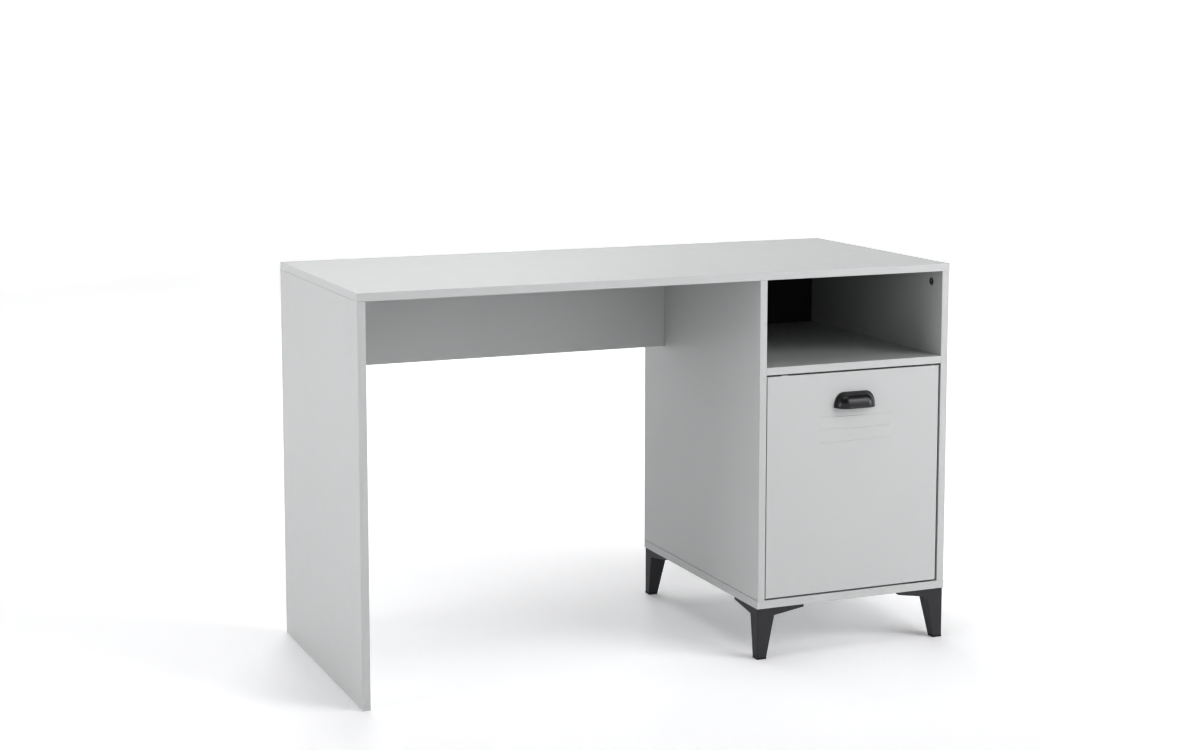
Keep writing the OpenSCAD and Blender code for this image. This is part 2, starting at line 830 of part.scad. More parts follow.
module door_handle() {
    color(black_colour) difference() {
        union() {
            translate([door_mid, y_front, handle_z]) {
                difference() {
                    dome(dome_r, dome_h, 0);
                    dome(dome_r - handle_wall, dome_h - handle_wall, eps);
                }
                // Rolled lip along the open lower edge
                difference() {
                    intersection() {
                        dome(dome_r + handle_lip, dome_h, 0);
                        translate([-handle_w, -handle_out - eps, 0])
                            cube([2 * handle_w, handle_out + eps, 2 * handle_lip]);
                    }
                    dome(dome_r - handle_wall, dome_h - handle_wall, eps);
                }
                // Rim that lies on the door
                difference() {
                    rotate([90, 0, 0]) linear_extrude(handle_rim_t)
                        rim_outline(handle_w, handle_h);
                    dome(dome_r - handle_wall, dome_h - handle_wall, eps);
                }
            }
            // Screw bosses that reach the inside of the dome
            intersection() {
                handle_screw_axes() cylinder(r = 3.8, h = handle_out);
                translate([door_mid, y_front, handle_z]) dome(dome_r - 0.5, dome_h - 0.5, 0);
            }
        }
        handle_screw_axes() translate([0, 0, -eps])
            cylinder(r = handle_screw_r + hole_gap, h = handle_screw_l - door_t + eps + 0.5);
    }
}

module handle_screws() {
    color(zinc_colour) handle_screw_axes() {
        translate([0, 0, -door_t]) cylinder(r = handle_screw_r, h = handle_screw_l);
        translate([0, 0, -door_t - handle_screw_head_t]) difference() {
            cylinder(r1 = handle_screw_head_r - 0.8, r2 = handle_screw_head_r, h = handle_screw_head_t);
            cross_recess();
        }
    }
}

desk_top();
left_end_panel();
modesty_panel();
cabinet_left_side();
cabinet_right_side();
cabinet_shelf();
cabinet_base();
cabinet_back();
back_nails();
leg_front_left();
leg_front_right();
leg_rear_left();
leg_rear_right();
glide_front_left();
glide_front_right();
glide_rear_left();
glide_rear_right();
leg_screws();
cam_locks();
cam_bolts();
wooden_dowels();
upper_pivot_bracket();
lower_pivot_bracket();
upper_pivot_pin();
lower_pivot_pin();
bracket_screws();
catch_body();
catch_magnet();
catch_screws();
door();
door_handle();
handle_screws();
upper_pivot_bush();
lower_pivot_bush();
strike_plate();
strike_screw();
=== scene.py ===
import json
import math

import bmesh
import bpy
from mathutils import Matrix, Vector


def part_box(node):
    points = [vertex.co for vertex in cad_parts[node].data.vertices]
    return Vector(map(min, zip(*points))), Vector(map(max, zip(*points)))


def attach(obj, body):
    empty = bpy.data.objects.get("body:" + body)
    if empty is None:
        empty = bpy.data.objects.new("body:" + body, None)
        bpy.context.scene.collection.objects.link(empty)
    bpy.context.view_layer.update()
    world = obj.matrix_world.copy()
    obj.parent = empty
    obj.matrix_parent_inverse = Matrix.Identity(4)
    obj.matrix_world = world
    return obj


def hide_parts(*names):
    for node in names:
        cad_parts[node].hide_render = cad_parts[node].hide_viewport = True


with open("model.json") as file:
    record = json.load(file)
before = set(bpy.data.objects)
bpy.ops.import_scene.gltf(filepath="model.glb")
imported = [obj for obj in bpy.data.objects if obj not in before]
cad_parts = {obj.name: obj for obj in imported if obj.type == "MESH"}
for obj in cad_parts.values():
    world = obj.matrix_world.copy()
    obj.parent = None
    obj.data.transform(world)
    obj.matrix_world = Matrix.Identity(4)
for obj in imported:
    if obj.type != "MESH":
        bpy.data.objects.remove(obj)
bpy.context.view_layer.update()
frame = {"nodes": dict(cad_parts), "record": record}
nodes = frame["nodes"]

MM = 0.001
CLOSE = 0.02 * MM

# ---------------------------------------------------------------- camera and stage

CAMERA_PLACE = (-1.628, -3.786, 1.218)
CAMERA_TURN_RIGHT = 22.83
CAMERA_TILT_DOWN = 6.91
CAMERA_LENS = 63.6
CAMERA_SHIFT = -0.08
CAMERA_SENSOR = 36


def make_camera():
    data = bpy.data.cameras.new("camera")
    data.lens = CAMERA_LENS
    data.sensor_width = CAMERA_SENSOR
    data.shift_y = CAMERA_SHIFT
    data.clip_start, data.clip_end = 0.1, 100
    camera = bpy.data.objects.new("camera", data)
    camera.location = CAMERA_PLACE
    camera.rotation_euler = (math.radians(90 - CAMERA_TILT_DOWN), 0, -math.radians(CAMERA_TURN_RIGHT))
    bpy.context.scene.collection.objects.link(camera)
    bpy.context.scene.camera = camera


# ---------------------------------------------------------------- node and colour helpers

def linear(hex_colour):
    """An sRGB hex colour as a linear RGBA tuple."""
    values = [int(hex_colour[i:i + 2], 16) / 255 for i in (1, 3, 5)]
    return tuple(v / 12.92 if v <= 0.04045 else ((v + 0.055) / 1.055) ** 2.4 for v in values) + (1.0,)


def add(tree, kind, settings=None, **links):
    """Adds a node, sets its properties and sockets, and links sockets given as node outputs."""
    node = tree.nodes.new(kind)
    for key, value in (settings or {}).items():
        setattr(node, key, value)
    for key, value in links.items():
        socket = node.inputs[int(key[1:])] if key[0] == "_" else node.inputs[key.replace("_", " ")]
        if isinstance(value, bpy.types.NodeSocket):
            tree.links.new(value, socket)
        else:
            socket.default_value = value
    return node


def new_material(name):
    """An empty node material with its Principled shader and object coordinates."""
    material = bpy.data.materials.new(name)
    material.use_nodes = True
    tree = material.node_tree
    tree.nodes.clear()
    shader = add(tree, "ShaderNodeBsdfPrincipled")
    output = add(tree, "ShaderNodeOutputMaterial")
    tree.links.new(shader.outputs[0], output.inputs[0])
    place = add(tree, "ShaderNodeTexCoord").outputs["Object"]
    return material, tree, shader, place


def noise(tree, place, size, detail=2.0, rough=0.5):
    """Noise whose largest features are about `size` metres across."""
    return add(tree, "ShaderNodeTexNoise", Vector=place, Scale=1 / size, Detail=detail,
               Roughness=rough).outputs[0]


def spread(tree, value, low, high):
    """Maps noise around 0.5 onto low to high."""
    return add(tree, "ShaderNodeMapRange", _0=value, _1=0.3, _2=0.7, _3=low, _4=high).outputs[0]


def tint(tree, factor, first, second):
    """A colour between two hex colours."""
    mix = add(tree, "ShaderNodeMix", {"data_type": "RGBA"}, _0=factor, _6=linear(first), _7=linear(second))
    return mix.outputs[2]


def bump(tree, height, depth, strength=1.0):
    """A normal from a height pattern `depth` metres deep."""
    return add(tree, "ShaderNodeBump", Height=height, Distance=depth, Strength=strength).outputs[0]


# ---------------------------------------------------------------- materials

def satin_lacquer():
    """Sprayed and rolled satin lacquer on fibreboard: an even cool grey, a soft wide
    highlight, and a faint orange peel a few millimetres across."""
    material, tree, shader, place = new_material("satin_lacquer_on_fibreboard")
    cloud = noise(tree, place, 0.25, 3.0)
    tree.links.new(tint(tree, cloud, "#BEBFBF", "#C0C1C1"), shader.inputs["Base Color"])
    tree.links.new(spread(tree, noise(tree, place, 0.04, 3.0), 0.38, 0.41), shader.inputs["Roughness"])
    peel = noise(tree, place, 2.2 * MM, 1.0)
    tree.links.new(bump(tree, peel, 0.03 * MM), shader.inputs["Normal"])
    shader.inputs["IOR"].default_value = 1.5
    return material


def black_hardboard():
    """Hardboard painted black on its shown side: matt, with the felted fibre of pressed wood."""
    material, tree, shader, place = new_material("black_painted_hardboard")
    fibre = noise(tree, place, 3 * MM, 5.0, 0.65)
    tree.links.new(tint(tree, fibre, "#17181A", "#222325"), shader.inputs["Base Color"])
    tree.links.new(spread(tree, fibre, 0.62, 0.8), shader.inputs["Roughness"])
    tree.links.new(bump(tree, fibre, 0.12 * MM), shader.inputs["Normal"])
    return material


def powder_coat():
    """Black polyester powder coat, baked on folded steel: satin, with a fine pebbled skin.
    The grain is drawn about twice its real size, so that it shows."""
    material, tree, shader, place = new_material("black_powder_coat_on_steel")
    grain = add(tree, "ShaderNodeTexVoronoi", {"feature": "SMOOTH_F1"}, Vector=place,
                Scale=1 / (1.1 * MM)).outputs[0]
    cloud = noise(tree, place, 0.03, 3.0)
    tree.links.new(tint(tree, cloud, "#343437", "#3D3D40"), shader.inputs["Base Color"])
    tree.links.new(spread(tree, cloud, 0.42, 0.52), shader.inputs["Roughness"])
    tree.links.new(bump(tree, grain, 0.08 * MM, 0.6), shader.inputs["Normal"])
    return material


def satin_enamel():
    """Black stoving enamel over a die-cast handle: smooth, with a broad soft gleam and
    slight ripples where the casting was polished."""
    material, tree, shader, place = new_material("black_satin_enamel_on_zinc")
    ripple = noise(tree, place, 9 * MM, 2.0)
    tree.links.new(tint(tree, ripple, "#1B1B1E", "#232327"), shader.inputs["Base Color"])
    tree.links.new(spread(tree, noise(tree, place, 4 * MM, 4.0), 0.28, 0.36), shader.inputs["Roughness"])
    tree.links.new(bump(tree, ripple, 0.05 * MM), shader.inputs["Normal"])
    shader.inputs["Coat Weight"].default_value = 0.25
    shader.inputs["Coat Roughness"].default_value = 0.2
    return material


def zinc_plate():
    """Bright zinc plate on die-cast and pressed fittings: pale metal, slightly cloudy."""
    material, tree, shader, place = new_material("bright_zinc_plate")
    cloud = noise(tree, place, 4 * MM, 4.0, 0.6)
    tree.links.new(tint(tree, cloud, "#A9ABAE", "#C6C8CA"), shader.inputs["Base Color"])
    tree.links.new(spread(tree, cloud, 0.26, 0.42), shader.inputs["Roughness"])
    tree.links.new(bump(tree, noise(tree, place, 0.8 * MM, 2.0), 0.02 * MM), shader.inputs["Normal"])
    shader.inputs["Metallic"].default_value = 1.0
    return material


def black_phosphate():
    """Black phosphate on steel screws: dark, dull metal with a dusty bloom."""
    material, tree, shader, place = new_material("black_phosphate_on_steel")
    bloom = noise(tree, place, 1.5 * MM, 4.0)
    tree.links.new(tint(tree, bloom, "#2A2A2B", "#3A3A3B"), shader.inputs["Base Color"])
    tree.links.new(spread(tree, bloom, 0.45, 0.6), shader.inputs["Roughness"])
    shader.inputs["Metallic"].default_value = 0.7
    return material


def moulded_plastic(name, dark, light, rough):
    """Injection-moulded plastic with a spark-eroded texture from its tool."""
    material, tree, shader, place = new_material(name)
    spark = noise(tree, place, 0.7 * MM, 2.0)
    tree.links.new(tint(tree, noise(tree, place, 8 * MM, 2.0), dark, light), shader.inputs["Base Color"])
    tree.links.new(spread(tree, spark, rough - 0.05, rough + 0.05), shader.inputs["Roughness"])
    tree.links.new(bump(tree, spark, 0.03 * MM), shader.inputs["Normal"])
    shader.inputs["IOR"].default_value = 1.49
    return material


def ferrite():
    """Sintered ferrite with ground faces: charcoal grey, dull."""
    material, tree, shader, place = new_material("ground_ferrite")
    grit = noise(tree, place, 0.6 * MM, 3.0)
    tree.links.new(tint(tree, grit, "#242426", "#343437"), shader.inputs["Base Color"])
    tree.links.new(spread(tree, grit, 0.4, 0.55), shader.inputs["Roughness"])
    return material


def beech():
    """Turned beech dowel: pale pinkish brown with short dark flecks along the grain."""
    material, tree, shader, place = new_material("turned_beech")
    grain = noise(tree, place, 1.2 * MM, 5.0, 0.6)
    tree.links.new(tint(tree, grain, "#B98F62", "#D3AE82"), shader.inputs["Base Color"])
    tree.links.new(spread(tree, grain, 0.55, 0.7), shader.inputs["Roughness"])
    tree.links.new(bump(tree, grain, 0.06 * MM), shader.inputs["Normal"])
    return material


# Painted glow of the floor: its emission strength rises from GLOW_NEAR to GLOW_FAR between these distances in
# metres.
GLOW_FROM, GLOW_TO = 1.0, 4.5
GLOW_NEAR, GLOW_FAR = 0.15, 0.56


def floor_paint():
    """Matt white studio floor with a faint mottle. It glows with painted light of its own, dim round the desk
    and rising towards the wall, so the backdrop stays white while the floor round the desk keeps its shadow."""
    material, tree, shader, place = new_material("matt_studio_floor_painted_glow")
    cloud = noise(tree, place, 0.8, 2.0)
    tree.links.new(tint(tree, cloud, "#F7F7F8", "#F9F9FA"), shader.inputs["Base Color"])
    tree.links.new(spread(tree, cloud, 0.5, 0.6), shader.inputs["Roughness"])
    # Painted light: the floor's emission grows with distance from the middle of the stage, though no lamp is
    # there.
    away = add(tree, "ShaderNodeVectorMath", {"operation": "LENGTH"}, _0=place).outputs["Value"]
    glow = add(tree, "ShaderNodeMapRange", {"interpolation_type": "SMOOTHSTEP"}, _0=away,
               _1=GLOW_FROM, _2=GLOW_TO, _3=GLOW_NEAR, _4=GLOW_FAR).outputs[0]
    shader.inputs["Emission Color"].default_value = (1, 1, 1, 1)
    tree.links.new(glow, shader.inputs["Emission Strength"])
    return material


FINISHES = {
    "board": satin_lacquer(),
    "hardboard_back": black_hardboard(),
    "leg_steel": powder_coat(),
    "glide_plastic": moulded_plastic("black_moulded_polyethylene", "#151516", "#1D1D1E", 0.5),
    "handle_finish": satin_enamel(),
    "zinc_fittings": zinc_plate(),
    "black_screws": black_phosphate(),
    "white_plastic": moulded_plastic("white_moulded_nylon", "#E4E4DF", "#ECECE8", 0.42),
    "magnet": ferrite(),
    "dowel_wood": beech(),
}
SLOT_OF = {part["node"]: part["material_slot"] for part in frame["record"]["subparts"]}
BODY_OF = {node: body for body, members in frame["record"]["behaviour"]["bodies"].items() for node in members}


# ---------------------------------------------------------------- pieces from the CAD nodes

FLAT_WITHIN = math.radians(0.5)
SHARP_OVER = math.radians(28)


def clean_copy(node):
    """The node's mesh as a bmesh, merged and with its flat areas made whole again."""
    mesh = bmesh.new()
    mesh.from_mesh(nodes[node].data)
    bmesh.ops.remove_doubles(mesh, verts=mesh.verts, dist=0.002 * MM)
    bmesh.ops.dissolve_limit(mesh, angle_limit=FLAT_WITHIN, verts=mesh.verts, edges=mesh.edges,
                             delimit={"NORMAL"})
    return mesh


def finish_piece(mesh, node, name, smooth_over=SHARP_OVER):
    """Makes a bmesh the piece that stands for a node, with the node's finish and body."""
    data = bpy.data.meshes.new(name)
    mesh.to_mesh(data)
    mesh.free()
    data.materials.append(FINISHES[SLOT_OF[node]])
    piece = bpy.data.objects.new(name, data)
    bpy.context.scene.collection.objects.link(piece)
    data.shade_smooth()
    data.set_sharp_from_angle(angle=smooth_over)
    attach(piece, BODY_OF[node])
    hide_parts(node)
    return piece


def round_edges(mesh, edges, radius, segments):
    bmesh.ops.bevel(mesh, geom=edges, offset=radius, segments=segments, profile=0.5,
                    affect="EDGES", clamp_overlap=True)


def box_edges(mesh, low, high):
    """The edges that run along the twelve edges of a box."""
    def sides(point):
        return {(i, k) for i in range(3) for k, c in enumerate((low, high)) if abs(point[i] - c[i]) < CLOSE}

    return [e for e in mesh.edges if len(sides(e.verts[0].co) & sides(e.verts[1].co)) >= 2]


def weighted_normals(piece):
    shading = piece.modifiers.new("weighted_normals", "WEIGHTED_NORMAL")
    shading.keep_sharp = True


def sharp_edges(mesh):
    """The edges between two faces that meet at a clear angle."""
    return [e for e in mesh.edges if len(e.link_faces) == 2 and e.calc_face_angle() > SHARP_OVER]


BOARD_ROUND = 0.7 * MM
BOARD_SMOOTH_OVER = math.radians(50)
PART_SMOOTH_OVER = math.radians(40)
OUTLINE = 5 * MM


def crisp_grooves(data, low, high):
    """Keeps the folds of the pressed grooves crisp: they lie behind the front face, well
    inside its outline, and their sides lean too little to count as sharp by angle."""
    pressed = set()
    for face in data.polygons:
        inside = all(low[i] + OUTLINE < face.center[i] < high[i] - OUTLINE for i in (0, 2))
        if inside and CLOSE < face.center.y - low.y < OUTLINE and abs(face.normal.y) > 0.5:
            pressed.update(face.edge_keys)
    for edge in data.edges:
        if edge.key in pressed:
            edge.use_edge_sharp = True


def dressed_board(node, pressed=False):
    """A board with its cam and dowel bores, and the small rounding of its lacquered edges."""
    mesh = clean_copy(node)
    low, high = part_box(node)
    round_edges(mesh, box_edges(mesh, low, high), BOARD_ROUND, 3)
    piece = finish_piece(mesh, node, node + "_board", BOARD_SMOOTH_OVER)
    if pressed:
        crisp_grooves(piece.data, low, high)
    weighted_normals(piece)
    return piece


def dressed_part(node, radius, segments=2):
    """A small part with all its sharp edges eased."""
    mesh = clean_copy(node)
    round_edges(mesh, sharp_edges(mesh), radius, segments)
    piece = finish_piece(mesh, node, node + "_part", PART_SMOOTH_OVER)
    weighted_normals(piece)
    return piece


# ---------------------------------------------------------------- boards, panels and small parts

for board in ("desk_top", "left_end_panel", "modesty_panel", "cabinet_left_side",
              "cabinet_right_side", "cabinet_shelf", "cabinet_base"):
    dressed_board(board)
dressed_board("door", pressed=True)

for part, radius in (("upper_pivot_bracket", 0.3), ("lower_pivot_bracket", 0.3),
                     ("upper_pivot_bush", 0.2), ("lower_pivot_bush", 0.2),
                     ("strike_plate", 0.2), ("catch_body", 0.4), ("catch_magnet", 0.3),
                     ("cabinet_back", 0.25), ("glide_front_left", 0.8), ("glide_front_right", 0.8),
                     ("glide_rear_left", 0.8), ("glide_rear_right", 0.8)):
    dressed_part(part, radius * MM)


# ---------------------------------------------------------------- legs

OUTER_FOLD = 2.2 * MM
INNER_FOLD = 1.4 * MM
SHEET_EDGE = 0.35 * MM
MEETING = 0.3 * MM
STEM_LEAST = 40 * MM
CUT_EDGE_OVER = math.radians(50)
LEG_SMOOTH_OVER = math.radians(35)


def folded_leg(node):
    """A leg of folded and welded sheet steel. Its outer corner is a wide fold, the other
    three corners of its stem are tighter, and the cut edges of the sheet are just eased."""
    mesh = clean_copy(node)
    low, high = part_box(node)
    side_x = low.x if node.endswith("left") else high.x
    side_y = low.y if "front" in node else high.y

    def at_outer_corner(edge):
        return all(abs(v.co.x - side_x) < MEETING and abs(v.co.y - side_y) < MEETING for v in edge.verts)

    def on_outer_face(edge):
        return any(abs(abs(f.normal.x) - 1) < 0.01 and abs(f.calc_center_median().x - side_x) < MEETING or
                   abs(abs(f.normal.y) - 1) < 0.01 and abs(f.calc_center_median().y - side_y) < MEETING
                   for f in edge.link_faces)

    def along_stem(edge):
        along = edge.verts[1].co - edge.verts[0].co
        return along.length > STEM_LEAST and abs(along.z) > 0.9 * along.length

    convex = [e for e in sharp_edges(mesh) if e.is_convex]
    corner = [e for e in convex if at_outer_corner(e)]
    folds = [e for e in convex if e not in corner and along_stem(e) and on_outer_face(e)]
    round_edges(mesh, corner, OUTER_FOLD, 5)
    round_edges(mesh, [e for e in folds if e.is_valid], INNER_FOLD, 3)
    rest = [e for e in sharp_edges(mesh) if e.is_convex and e.calc_face_angle() > CUT_EDGE_OVER]
    round_edges(mesh, rest, SHEET_EDGE, 2)
    piece = finish_piece(mesh, node, node + "_folded", LEG_SMOOTH_OVER)
    weighted_normals(piece)
    return piece


for leg in ("leg_front_left", "leg_front_right", "leg_rear_left", "leg_rear_right"):
    folded_leg(leg)


# ---------------------------------------------------------------- handle

HANDLE_VOXEL = 0.45 * MM
HANDLE_SMOOTHING = 6


def cast_handle():
    """The cup handle as one casting: the sharp union of dome, rim, lip and screw bosses is
    remeshed and smoothed, which leaves the small fillets of a polished casting."""
    mesh = clean_copy("door_handle")
    piece = finish_piece(mesh, "door_handle", "cast_cup_handle")
    data = piece.data
    bpy.context.view_layer.objects.active = piece
    remesh = piece.modifiers.new("remesh", "REMESH")
    remesh.mode = "VOXEL"
    remesh.voxel_size = HANDLE_VOXEL
    smooth = piece.modifiers.new("smooth", "SMOOTH")
    smooth.factor, smooth.iterations = 0.5, HANDLE_SMOOTHING
    baked = bpy.data.meshes.new_from_object(piece.evaluated_get(bpy.context.evaluated_depsgraph_get()))
    piece.modifiers.clear()
    piece.data = baked
    baked.name = "cast_cup_handle"
    bpy.data.meshes.remove(data)
    baked.materials.clear()
    baked.materials.append(FINISHES["handle_finish"])
    baked.shade_smooth()
    return piece


cast_handle()


# ---------------------------------------------------------------- screws, nails and cam locks

def solids(node):
    """The points of each separate solid in a node."""
    mesh = clean_copy(node)
    seen, found = set(), []
    for start in mesh.verts:
        if start in seen:
            continue
        seen.add(start)
        waiting, points = [start], []
        while waiting:
            vert = waiting.pop()
            points.append(vert.co.copy())
            for edge in vert.link_edges:
                other = edge.other_vert(vert)
                if other not in seen:
                    seen.add(other)
                    waiting.append(other)
        found.append(points)
    mesh.free()
    return found


def middle_and_size(points):
    low = Vector([min(p[i] for p in points) for i in range(3)])
    high = Vector([max(p[i] for p in points) for i in range(3)])
    return (low + high) / 2, high - low


def outer_end(points, axis, measure):
    """The middle of the end of a solid where `measure` is greater, and the way it faces."""
    middle, size = middle_and_size(points)
    way = Vector([1.0 if i == axis else 0.0 for i in range(3)])

    def at_end(sign):
        end = middle + way * sign * size[axis] / 2
        return measure([p - end for p in points if abs((p - end)[axis]) < 0.1 * MM])

    sign = 1 if at_end(1) > at_end(-1) else -1
    return middle + way * sign * size[axis] / 2, way * sign


def widest(points):
    return max(p.length for p in points)


def tree_with_inputs(name, sockets):
    """A geometry tree, its named inputs as node outputs, and their identifiers."""
    tree = bpy.data.node_groups.new(name, "GeometryNodeTree")
    inside = tree.nodes.new("NodeGroupInput")
    for label, kind in sockets:
        tree.interface.new_socket(label, in_out="INPUT", socket_type="NodeSocket" + kind)
    tree.interface.new_socket("Geometry", in_out="OUTPUT", socket_type="NodeSocketGeometry")
    outputs = {label: inside.outputs[label] for label, kind in sockets}
    identifiers = {s.name: s.identifier for s in tree.interface.items_tree if s.in_out == "INPUT"}
    return tree, outputs, identifiers


def math_node(tree, operation, a, b):
    return add(tree, "ShaderNodeMath", {"operation": operation}, _0=a, _1=b).outputs[0]


def moved(tree, geometry, x=0.0, y=0.0, z=0.0):
    offset = add(tree, "ShaderNodeCombineXYZ", X=x, Y=y, Z=z).outputs[0]
    return add(tree, "GeometryNodeTransform", Geometry=geometry, Translation=offset).outputs[0]


def block(tree, x, y, z):
    size = add(tree, "ShaderNodeCombineXYZ", X=x, Y=y, Z=z).outputs[0]
    return add(tree, "GeometryNodeMeshCube", Size=size).outputs[0]


def cut(tree, body, tools):
    """A body less some tools, by the exact solver."""
    node = add(tree, "GeometryNodeMeshBoolean", {"operation": "DIFFERENCE", "solver": "EXACT"}, Mesh_1=body)
    for tool in tools:
        tree.links.new(tool, node.inputs["Mesh 2"])
    return node.outputs[0]


def place_copies(tree, places, shape, rotation, finish):
    """Copies of a shape on the places, made real and given their finish."""
    copies = add(tree, "GeometryNodeInstanceOnPoints", Points=places, Instance=shape,
                 Rotation=rotation).outputs[0]
    real = add(tree, "GeometryNodeRealizeInstances", Geometry=copies).outputs[0]
    coated = add(tree, "GeometryNodeSetMaterial", Geometry=real, Material=finish).outputs[0]
    output = tree.nodes.new("NodeGroupOutput")
    tree.links.new(coated, output.inputs[0])


def facing(tree, name):
    return add(tree, "GeometryNodeInputNamedAttribute", {"data_type": "FLOAT_VECTOR"}, Name=name).outputs[0]


def screw_tree():
    """A driven screw or nail: a tapered head with a cross recess, on a plain shank. Each copy
    points its head along the way attribute and stops at its own angle, as driven ones do."""
    tree, given, identifiers = tree_with_inputs("driven_fasteners", (
        ("Places", "Geometry"), ("End Radius", "Float"), ("Seat Radius", "Float"),
        ("Head Height", "Float"), ("Shank Radius", "Float"), ("Shank Length", "Float"),
        ("Recess Length", "Float"), ("Recess Width", "Float"), ("Recessed", "Bool"),
        ("Seed", "Int"), ("Finish", "Material")))
    head = add(tree, "GeometryNodeMeshCone", Vertices=40, Radius_Top=given["End Radius"],
               Radius_Bottom=given["Seat Radius"], Depth=given["Head Height"]).outputs[0]
    head = moved(tree, head, z=math_node(tree, "MULTIPLY", given["Head Height"], -1.0))
    lap = 0.2 * MM
    shank = add(tree, "GeometryNodeMeshCylinder", Vertices=28, Radius=given["Shank Radius"],
                Depth=math_node(tree, "ADD", given["Shank Length"], lap)).outputs[0]
    half = math_node(tree, "MULTIPLY", given["Shank Length"], -0.5)
    drop = math_node(tree, "SUBTRACT", half, given["Head Height"])
    shank = moved(tree, shank, z=math_node(tree, "ADD", drop, lap / 2))
    whole = add(tree, "GeometryNodeMeshBoolean", {"operation": "UNION", "solver": "EXACT"})
    tree.links.new(head, whole.inputs["Mesh 2"])
    tree.links.new(shank, whole.inputs["Mesh 2"])
    deep = math_node(tree, "MULTIPLY", given["Recess Width"], 2.0)
    arms = [block(tree, given["Recess Length"], given["Recess Width"], deep),
            block(tree, given["Recess Width"], given["Recess Length"], deep)]
    crossed = cut(tree, whole.outputs[0], arms)
    shape = add(tree, "GeometryNodeSwitch", {"input_type": "GEOMETRY"}, Switch=given["Recessed"],
                _1=whole.outputs[0], _2=crossed).outputs[0]
    along = add(tree, "FunctionNodeAlignRotationToVector", {"axis": "Z"},
                Vector=facing(tree, "way")).outputs[0]
    angle = add(tree, "FunctionNodeRandomValue", {"data_type": "FLOAT"}, _2=0.0, _3=math.pi / 2,
                Seed=given["Seed"]).outputs[1]
    spin = add(tree, "FunctionNodeAxisAngleToRotation", Axis=(0, 0, 1), Angle=angle).outputs[0]
    turned = add(tree, "FunctionNodeRotateRotation", {"rotation_space": "LOCAL"}, Rotation=along,
                 Rotate_By=spin).outputs[0]
    place_copies(tree, given["Places"], shape, turned, given["Finish"])
    return tree, identifiers


def cam_tree():
    """A cam lock: a die-cast drum with a cross recess and a pressed arrow in its face, a pocket
    for the bolt's head and a slot for its neck, which opens along the toward attribute."""
    tree, given, identifiers = tree_with_inputs("cam_locks", (
        ("Places", "Geometry"), ("Radius", "Float"), ("Length", "Float"), ("Bolt Depth", "Float"),
        ("Head Room", "Float"), ("Neck Room", "Float"), ("Recess Length", "Float"),
        ("Recess Width", "Float"), ("Recess Depth", "Float"), ("Finish", "Material")))
    drum = add(tree, "GeometryNodeMeshCylinder", Vertices=56, Radius=given["Radius"],
               Depth=given["Length"]).outputs[0]
    drum = moved(tree, drum, z=math_node(tree, "MULTIPLY", given["Length"], -0.5))
    deep = math_node(tree, "MULTIPLY", given["Recess Depth"], 2.0)
    level = math_node(tree, "MULTIPLY", given["Bolt Depth"], -1.0)
    pocket = block(tree, math_node(tree, "MULTIPLY", given["Head Room"], 0.7), given["Head Room"],
                   given["Head Room"])
    slot_length = math_node(tree, "ADD", given["Radius"], 1.0 * MM)
    slot = block(tree, slot_length, given["Neck Room"], given["Neck Room"])
    arrow = add(tree, "GeometryNodeMeshCylinder", Vertices=3, Radius=1.2 * MM, Depth=0.8 * MM).outputs[0]
    cutters = [
        block(tree, given["Recess Length"], given["Recess Width"], deep),
        block(tree, given["Recess Width"], given["Recess Length"], deep),
        moved(tree, pocket, x=0.5 * MM, z=level),
        moved(tree, slot, x=math_node(tree, "MULTIPLY", slot_length, 0.5), z=level),
        moved(tree, arrow, x=math_node(tree, "SUBTRACT", given["Radius"], 2.0 * MM))]
    rotation = add(tree, "FunctionNodeAxesToRotation", {"primary_axis": "Z", "secondary_axis": "X"},
                   Primary_Axis=facing(tree, "way"), Secondary_Axis=facing(tree, "toward")).outputs[0]
    place_copies(tree, given["Places"], cut(tree, drum, cutters), rotation, given["Finish"])
    return tree, identifiers


FASTENER_SHARP_OVER = math.radians(35)


def fasteners(node, name, made_tree, places, values, ease):
    """The fasteners of one node as one plain mesh. Places are (end, way, toward) in metres."""
    tree, identifiers = made_tree
    data = bpy.data.meshes.new(name + "_places")
    data.from_pydata([place[0] for place in places], [], [])
    for key, column in (("way", 1), ("toward", 2)):
        attribute = data.attributes.new(key, "FLOAT_VECTOR", "POINT")
        attribute.data.foreach_set("vector", [c for place in places for c in place[column]])
    piece = bpy.data.objects.new(name, data)
    bpy.context.scene.collection.objects.link(piece)
    nodes_modifier = piece.modifiers.new("fasteners", "NODES")
    nodes_modifier.node_group = tree
    for label, value in dict(values, Finish=FINISHES[SLOT_OF[node]]).items():
        nodes_modifier[identifiers[label]] = value
    eased = piece.modifiers.new("eased_edges", "BEVEL")
    eased.width, eased.segments = ease, 2
    eased.limit_method, eased.angle_limit = "ANGLE", FASTENER_SHARP_OVER
    real = bpy.data.meshes.new_from_object(piece.evaluated_get(bpy.context.evaluated_depsgraph_get()))
    piece.modifiers.clear()
    piece.data = real
    real.name = name
    bpy.data.meshes.remove(data)
    real.shade_smooth()
    real.set_sharp_from_angle(angle=FASTENER_SHARP_OVER)
    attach(piece, BODY_OF[node])
    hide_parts(node)
    return piece


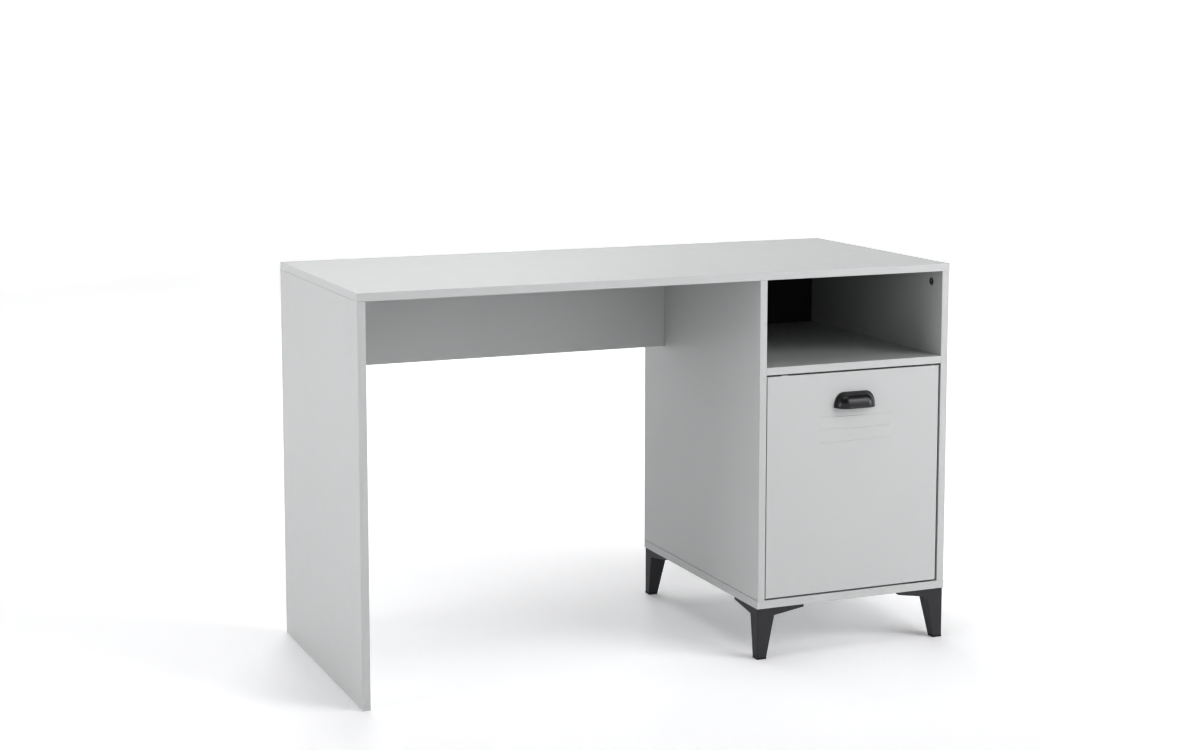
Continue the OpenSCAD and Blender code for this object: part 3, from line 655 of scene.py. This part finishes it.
# Millimetres: end radius, seat radius, head height, shank radius, shank length, recess length and width
DRIVEN = {
    "back_nails": (1.8, 1.8, 0.6, 0.8, 18, 1, 1),
    "leg_screws": (3.0, 3.8, 2.4, 2, 13, 4, 1),
    "bracket_screws": (3, 1.5, 1.5, 1.5, 9.5, 2.8, 0.7),
    "catch_screws": (3, 1.5, 1.5, 1.5, 10.5, 2.8, 0.7),
    "handle_screws": (3.2, 4, 2.6, 2, 24, 4, 1),
    "strike_screw": (1.8, 3, 1.6, 1.5, 11, 2.4, 0.7),
}
MEASURES = ("End Radius", "Seat Radius", "Head Height", "Shank Radius", "Shank Length",
            "Recess Length", "Recess Width")
screws = screw_tree()
for seed, (node, sizes) in enumerate(DRIVEN.items()):
    places = []
    for points in solids(node):
        size = middle_and_size(points)[1]
        end, way = outer_end(points, max(range(3), key=lambda i: size[i]), widest)
        places.append((end, way, (0, 0, 0)))
    values = {label: size * MM for label, size in zip(MEASURES, sizes)}
    values.update({"Recessed": node != "back_nails", "Seed": seed})
    fasteners(node, node + "_driven", screws, places, values, 0.12 * MM)

bolt_middles = [middle_and_size(points)[0] for points in solids("cam_bolts")]
cam_places = []
for points in solids("cam_locks"):
    middle, size = middle_and_size(points)
    end, way = outer_end(points, min(range(3), key=lambda i: size[i]), len)
    bolt = min((b - middle for b in bolt_middles), key=lambda gap: gap.length)
    cam_places.append((end, way, (bolt - way * bolt.dot(way)).normalized()))
fasteners("cam_locks", "cam_locks_turned", cam_tree(), cam_places, {
    "Radius": 7.4 * MM, "Length": 12.3 * MM, "Bolt Depth": 7.5 * MM, "Head Room": 7.2 * MM,
    "Neck Room": 4.6 * MM, "Recess Length": 8 * MM, "Recess Width": 1.4 * MM,
    "Recess Depth": 2 * MM}, 0.3 * MM)

for node, obj in nodes.items():
    obj.data.materials.clear()
    obj.data.materials.append(FINISHES[SLOT_OF[node]])


# ---------------------------------------------------------------- stage and light

def make_floor():
    """A round studio floor that sweeps up into a pale wall well outside the camera's ring."""
    flat, bend, rise, steps = 9.0, 3.0, 3.0, 12
    section = [(0.01, 0), (flat, 0)]
    section += [(flat + bend * math.sin(a), bend - bend * math.cos(a))
                for a in (math.pi / 2 * (i + 1) / steps for i in range(steps))]
    section.append((flat + bend, bend + rise))
    mesh = bmesh.new()
    ring = [mesh.verts.new((r, 0, z)) for r, z in section]
    edges = [mesh.edges.new(pair) for pair in zip(ring, ring[1:])]
    bmesh.ops.spin(mesh, geom=ring + edges, cent=(0, 0, 0), axis=(0, 0, 1), dvec=(0, 0, 0),
                   angle=2 * math.pi, steps=64)
    bmesh.ops.remove_doubles(mesh, verts=mesh.verts, dist=0.001)
    bmesh.ops.contextual_create(mesh, geom=[e for e in mesh.edges if e.is_boundary and e.verts[0].co.z < 1])
    bmesh.ops.recalc_face_normals(mesh, faces=mesh.faces)
    data = bpy.data.meshes.new("floor")
    mesh.to_mesh(data)
    mesh.free()
    data.shade_smooth()
    data.materials.append(floor_paint())
    floor = bpy.data.objects.new("floor", data)
    bpy.context.scene.collection.objects.link(floor)


def make_light(name, place, target, size, power):
    data = bpy.data.lights.new(name, "AREA")
    data.shape = "RECTANGLE"
    data.size, data.size_y = size
    data.energy = power
    light = bpy.data.objects.new(name, data)
    light.location = place
    light.rotation_euler = (Vector(target) - Vector(place)).to_track_quat("-Z", "Y").to_euler()
    bpy.context.scene.collection.objects.link(light)


def make_world():
    world = bpy.data.worlds.new("studio")
    world.use_nodes = True
    world.node_tree.nodes["Background"].inputs[0].default_value = WHITE
    world.node_tree.nodes["Background"].inputs[1].default_value = WORLD_STRENGTH
    bpy.context.scene.world = world


WHITE = (1, 1, 1, 1)
WORLD_STRENGTH = 0.03
VIEW_GAMMA = 0.75

bpy.context.scene.view_settings.view_transform = "Standard"
bpy.context.scene.view_settings.gamma = VIEW_GAMMA
make_camera()
make_floor()
make_world()
make_light("overhead", (0.1, -0.2, 3.2), (0.1, 0, 0), (2.4, 2.4), 36)
make_light("key_right", (2.4, -3.2, 3.2), (0.4, 0, 0.4), (1.8, 1.8), 60)
make_light("side_right", (3.4, -2.6, 1.4), (0.4, 0, 0.4), (1.6, 1.6), 46)
make_light("side_left", (-3.8, -0.4, 1.3), (-0.6, 0, 0.4), (1.6, 1.6), 40)
make_light("back_top", (0.2, 3.0, 3.2), (0.2, 0, 0.4), (2.4, 1.8), 62)
